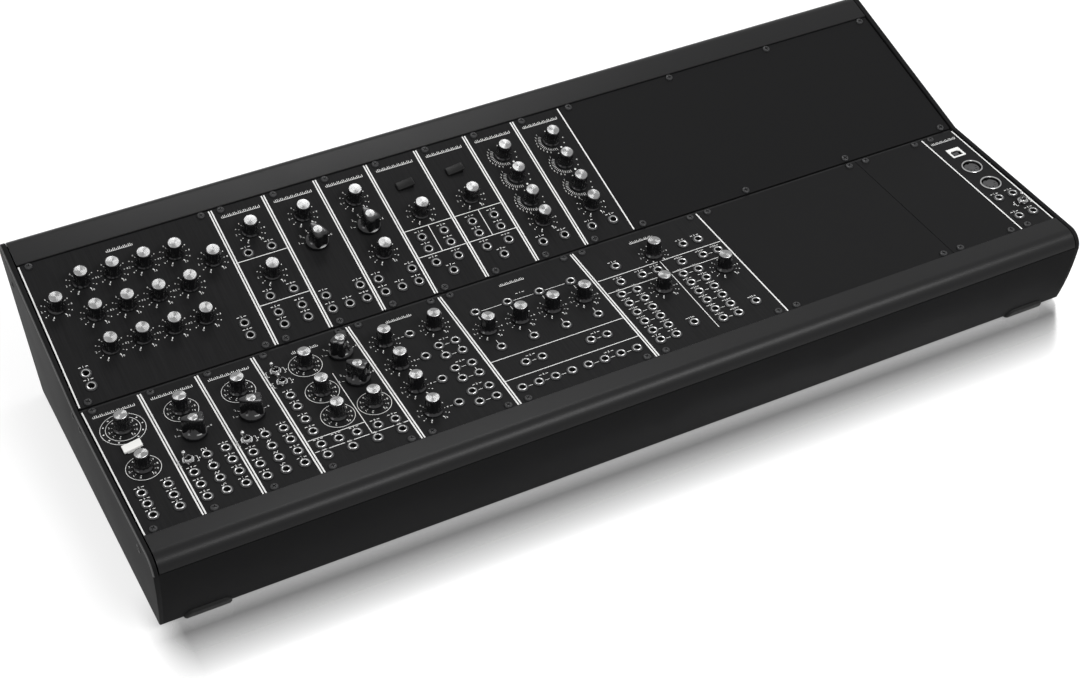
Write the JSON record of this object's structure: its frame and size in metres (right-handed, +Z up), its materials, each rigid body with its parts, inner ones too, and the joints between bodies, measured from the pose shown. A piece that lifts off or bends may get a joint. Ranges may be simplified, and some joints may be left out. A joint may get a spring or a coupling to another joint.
{
  "type": "modular synthesizer",
  "caption": "Long desktop modular synthesizer: sloped black steel case with rows of panels carrying jack sockets, turning knobs, pointer selectors, rockers and toggles.",
  "frame": {"origin": "on the table under the middle of the case, at the underside of the feet", "axes": "+X along the rows to the player's right, +Y to the back, +Z up"},
  "size_m": [0.7216, 0.3094, 0.1094],
  "materials": {
    "case_paint": "satin black fine-textured powder coat",
    "rail_paint": "satin black paint",
    "panel_finish": "matte black anodised with white print",
    "blank_finish": "smooth matte black anodised",
    "knob_plastic": "gloss black with a spun metal cap",
    "white_plastic": "satin white",
    "lever_plating": "bright plating",
    "circuit_board": "green solder mask",
    "inlet_plastic": "satin black"
  },
  "bodies": {
    "case": {"case_tub": "case_paint", "front_rail": "rail_paint", "middle_rail": "rail_paint", "rear_rail": "rail_paint", "bus_board": "circuit_board", "driver_module": "panel_finish", "left_oscillator_module": "panel_finish", "right_oscillator_module": "panel_finish", "dual_oscillator_module": "panel_finish", "mixer_module": "panel_finish", "attenuator_module": "panel_finish", "interface_module": "panel_finish", "wide_blank_panel": "blank_finish", "narrow_blank_panel": "blank_finish", "midi_module": "panel_finish", "filter_bank_module": "panel_finish", "noise_filter_module": "panel_finish", "highpass_module": "panel_finish", "lowpass_module": "panel_finish", "left_amplifier_module": "panel_finish", "right_amplifier_module": "panel_finish", "left_envelope_module": "panel_finish", "right_envelope_module": "panel_finish", "upper_blank_panel": "blank_finish", "power_plate": "inlet_plastic"},
    "driver_knob_1": {"driver_knob_1": "knob_plastic"},
    "driver_knob_2": {"driver_knob_2": "knob_plastic"},
    "driver_rocker": {"driver_rocker": "white_plastic"},
    "left_oscillator_knob": {"left_oscillator_knob": "knob_plastic"},
    "left_oscillator_selector": {"left_oscillator_selector": "knob_plastic"},
    "left_oscillator_toggle": {"left_oscillator_toggle": "lever_plating"},
    "right_oscillator_knob": {"right_oscillator_knob": "knob_plastic"},
    "right_oscillator_selector": {"right_oscillator_selector": "knob_plastic"},
    "right_oscillator_toggle": {"right_oscillator_toggle": "lever_plating"},
    "dual_oscillator_knob_1": {"dual_oscillator_knob_1": "knob_plastic"},
    "dual_oscillator_knob_2": {"dual_oscillator_knob_2": "knob_plastic"},
    "dual_oscillator_knob_3": {"dual_oscillator_knob_3": "knob_plastic"},
    "dual_oscillator_knob_4": {"dual_oscillator_knob_4": "knob_plastic"},
    "dual_oscillator_upper_selector": {"dual_oscillator_upper_selector": "knob_plastic"},
    "dual_oscillator_lower_selector": {"dual_oscillator_lower_selector": "knob_plastic"},
    "dual_oscillator_toggle_1": {"dual_oscillator_toggle_1": "lever_plating"},
    "dual_oscillator_toggle_2": {"dual_oscillator_toggle_2": "lever_plating"},
    "mixer_knob_1": {"mixer_knob_1": "knob_plastic"},
    "mixer_knob_2": {"mixer_knob_2": "knob_plastic"},
    "mixer_knob_3": {"mixer_knob_3": "knob_plastic"},
    "mixer_knob_4": {"mixer_knob_4": "knob_plastic"},
    "mixer_knob_5": {"mixer_knob_5": "knob_plastic"},
    "attenuator_knob_1": {"attenuator_knob_1": "knob_plastic"},
    "attenuator_knob_2": {"attenuator_knob_2": "knob_plastic"},
    "attenuator_knob_3": {"attenuator_knob_3": "knob_plastic"},
    "attenuator_knob_4": {"attenuator_knob_4": "knob_plastic"},
    "interface_knob_1": {"interface_knob_1": "knob_plastic"},
    "interface_knob_2": {"interface_knob_2": "knob_plastic"},
    "interface_knob_3": {"interface_knob_3": "knob_plastic"},
    "midi_toggle": {"midi_toggle": "lever_plating"},
    "highpass_selector": {"highpass_selector": "knob_plastic"},
    "lowpass_selector": {"lowpass_selector": "knob_plastic"},
    "left_amplifier_rocker": {"left_amplifier_rocker": "knob_plastic"},
    "right_amplifier_rocker": {"right_amplifier_rocker": "knob_plastic"},
    "power_rocker": {"power_rocker": "knob_plastic"}
  },
  "joints": [
    {"name": "driver_knob_1_turn", "type": "hinge", "parent": "case", "child": "driver_knob_1", "pos_m": [-0.33528, -0.02792, 0.0685], "axis": [0, 0, 1], "range_deg": [-150, 150]},
    {"name": "driver_knob_2_turn", "type": "hinge", "parent": "case", "child": "driver_knob_2", "pos_m": [-0.33528, -0.06912, 0.0685], "axis": [0, 0, 1], "range_deg": [-150, 150]},
    {"name": "driver_rocker_tilt", "type": "hinge", "parent": "case", "child": "driver_rocker", "pos_m": [-0.33528, -0.04852, 0.0675], "axis": [0, 1, 0], "range_deg": [0, 18]},
    {"name": "left_oscillator_knob_turn", "type": "hinge", "parent": "case", "child": "left_oscillator_knob", "pos_m": [-0.29464, -0.02792, 0.0685], "axis": [0, 0, 1], "range_deg": [-150, 150]},
    {"name": "left_oscillator_selector_turn", "type": "hinge", "parent": "case", "child": "left_oscillator_selector", "pos_m": [-0.29464, -0.05431, 0.0685], "axis": [0, 0, 1], "range_deg": [-150, 0]},
    {"name": "left_oscillator_toggle_throw", "type": "hinge", "parent": "case", "child": "left_oscillator_toggle", "pos_m": [-0.30746, -0.07679, 0.0685], "axis": [0, 1, 0], "range_deg": [0, 30]},
    {"name": "right_oscillator_knob_turn", "type": "hinge", "parent": "case", "child": "right_oscillator_knob", "pos_m": [-0.254, -0.02792, 0.0685], "axis": [0, 0, 1], "range_deg": [-150, 150]},
    {"name": "right_oscillator_selector_turn", "type": "hinge", "parent": "case", "child": "right_oscillator_selector", "pos_m": [-0.254, -0.05431, 0.0685], "axis": [0, 0, 1], "range_deg": [-150, 0]},
    {"name": "right_oscillator_toggle_throw", "type": "hinge", "parent": "case", "child": "right_oscillator_toggle", "pos_m": [-0.26682, -0.07679, 0.0685], "axis": [0, 1, 0], "range_deg": [0, 30]},
    {"name": "dual_oscillator_knob_1_turn", "type": "hinge", "parent": "case", "child": "dual_oscillator_knob_1", "pos_m": [-0.20398, -0.02453, 0.0685], "axis": [0, 0, 1], "range_deg": [-150, 150]},
    {"name": "dual_oscillator_knob_2_turn", "type": "hinge", "parent": "case", "child": "dual_oscillator_knob_2", "pos_m": [-0.20398, -0.05442, 0.0685], "axis": [0, 0, 1], "range_deg": [-150, 150]},
    {"name": "dual_oscillator_knob_3_turn", "type": "hinge", "parent": "case", "child": "dual_oscillator_knob_3", "pos_m": [-0.20398, -0.08122, 0.0685], "axis": [0, 0, 1], "range_deg": [-150, 150]},
    {"name": "dual_oscillator_knob_4_turn", "type": "hinge", "parent": "case", "child": "dual_oscillator_knob_4", "pos_m": [-0.17748, -0.08122, 0.0685], "axis": [0, 0, 1], "range_deg": [-150, 150]},
    {"name": "dual_oscillator_upper_selector_turn", "type": "hinge", "parent": "case", "child": "dual_oscillator_upper_selector", "pos_m": [-0.17748, -0.02453, 0.0685], "axis": [0, 0, 1], "range_deg": [-30, 120]},
    {"name": "dual_oscillator_lower_selector_turn", "type": "hinge", "parent": "case", "child": "dual_oscillator_lower_selector", "pos_m": [-0.17748, -0.05442, 0.0685], "axis": [0, 0, 1], "range_deg": [-120, 30]},
    {"name": "dual_oscillator_toggle_1_throw", "type": "hinge", "parent": "case", "child": "dual_oscillator_toggle_1", "pos_m": [-0.22479, -0.02212, 0.0685], "axis": [0, 1, 0], "range_deg": [0, 30]},
    {"name": "dual_oscillator_toggle_2_throw", "type": "hinge", "parent": "case", "child": "dual_oscillator_toggle_2", "pos_m": [-0.22479, -0.03422, 0.0685], "axis": [0, 1, 0], "range_deg": [0, 30]},
    {"name": "mixer_knob_1_turn", "type": "hinge", "parent": "case", "child": "mixer_knob_1", "pos_m": [-0.14605, -0.02792, 0.0685], "axis": [0, 0, 1], "range_deg": [-150, 150]},
    {"name": "mixer_knob_2_turn", "type": "hinge", "parent": "case", "child": "mixer_knob_2", "pos_m": [-0.14605, -0.05431, 0.0685], "axis": [0, 0, 1], "range_deg": [-150, 150]},
    {"name": "mixer_knob_3_turn", "type": "hinge", "parent": "case", "child": "mixer_knob_3", "pos_m": [-0.14605, -0.08071, 0.0685], "axis": [0, 0, 1], "range_deg": [-150, 150]},
    {"name": "mixer_knob_4_turn", "type": "hinge", "parent": "case", "child": "mixer_knob_4", "pos_m": [-0.14605, -0.1071, 0.0685], "axis": [0, 0, 1], "range_deg": [-150, 150]},
    {"name": "mixer_knob_5_turn", "type": "hinge", "parent": "case", "child": "mixer_knob_5", "pos_m": [-0.108, -0.02792, 0.0685], "axis": [0, 0, 1], "range_deg": [-150, 150]},
    {"name": "attenuator_knob_1_turn", "type": "hinge", "parent": "case", "child": "attenuator_knob_1", "pos_m": [-0.0762, -0.04862, 0.0685], "axis": [0, 0, 1], "range_deg": [-150, 150]},
    {"name": "attenuator_knob_2_turn", "type": "hinge", "parent": "case", "child": "attenuator_knob_2", "pos_m": [-0.0508, -0.04862, 0.0685], "axis": [0, 0, 1], "range_deg": [-150, 150]},
    {"name": "attenuator_knob_3_turn", "type": "hinge", "parent": "case", "child": "attenuator_knob_3", "pos_m": [-0.0254, -0.04862, 0.0685], "axis": [0, 0, 1], "range_deg": [-150, 150]},
    {"name": "attenuator_knob_4_turn", "type": "hinge", "parent": "case", "child": "attenuator_knob_4", "pos_m": [0, -0.04862, 0.0685], "axis": [0, 0, 1], "range_deg": [-150, 150]},
    {"name": "interface_knob_1_turn", "type": "hinge", "parent": "case", "child": "interface_knob_1", "pos_m": [0.06858, -0.02792, 0.0685], "axis": [0, 0, 1], "range_deg": [-150, 150]},
    {"name": "interface_knob_2_turn", "type": "hinge", "parent": "case", "child": "interface_knob_2", "pos_m": [0.05557, -0.06542, 0.0685], "axis": [0, 0, 1], "range_deg": [-150, 150]},
    {"name": "interface_knob_3_turn", "type": "hinge", "parent": "case", "child": "interface_knob_3", "pos_m": [0.10637, -0.06542, 0.0685], "axis": [0, 0, 1], "range_deg": [-150, 150]},
    {"name": "midi_toggle_throw", "type": "hinge", "parent": "case", "child": "midi_toggle", "pos_m": [0.34712, -0.10042, 0.0685], "axis": [0, 1, 0], "range_deg": [0, 30]},
    {"name": "highpass_selector_turn", "type": "hinge", "parent": "case", "child": "highpass_selector", "pos_m": [-0.1524, 0.07441, 0.08828], "axis": [0, -0.2622, 0.965], "range_deg": [-90, 60]},
    {"name": "lowpass_selector_turn", "type": "hinge", "parent": "case", "child": "lowpass_selector", "pos_m": [-0.11176, 0.07441, 0.08828], "axis": [0, -0.2622, 0.965], "range_deg": [-90, 60]},
    {"name": "left_amplifier_rocker_tilt", "type": "hinge", "parent": "case", "child": "left_amplifier_rocker", "pos_m": [-0.07112, 0.09927, 0.09399], "axis": [0, 0.965, 0.2622], "range_deg": [0, 18]},
    {"name": "right_amplifier_rocker_tilt", "type": "hinge", "parent": "case", "child": "right_amplifier_rocker", "pos_m": [-0.03048, 0.09927, 0.09399], "axis": [0, 0.965, 0.2622], "range_deg": [0, 18]},
    {"name": "power_rocker_tilt", "type": "hinge", "parent": "case", "child": "power_rocker", "pos_m": [-0.2476, 0.1363, 0.05639], "axis": [0, -0.4226, -0.9063], "range_deg": [0, 18]}
  ]
}
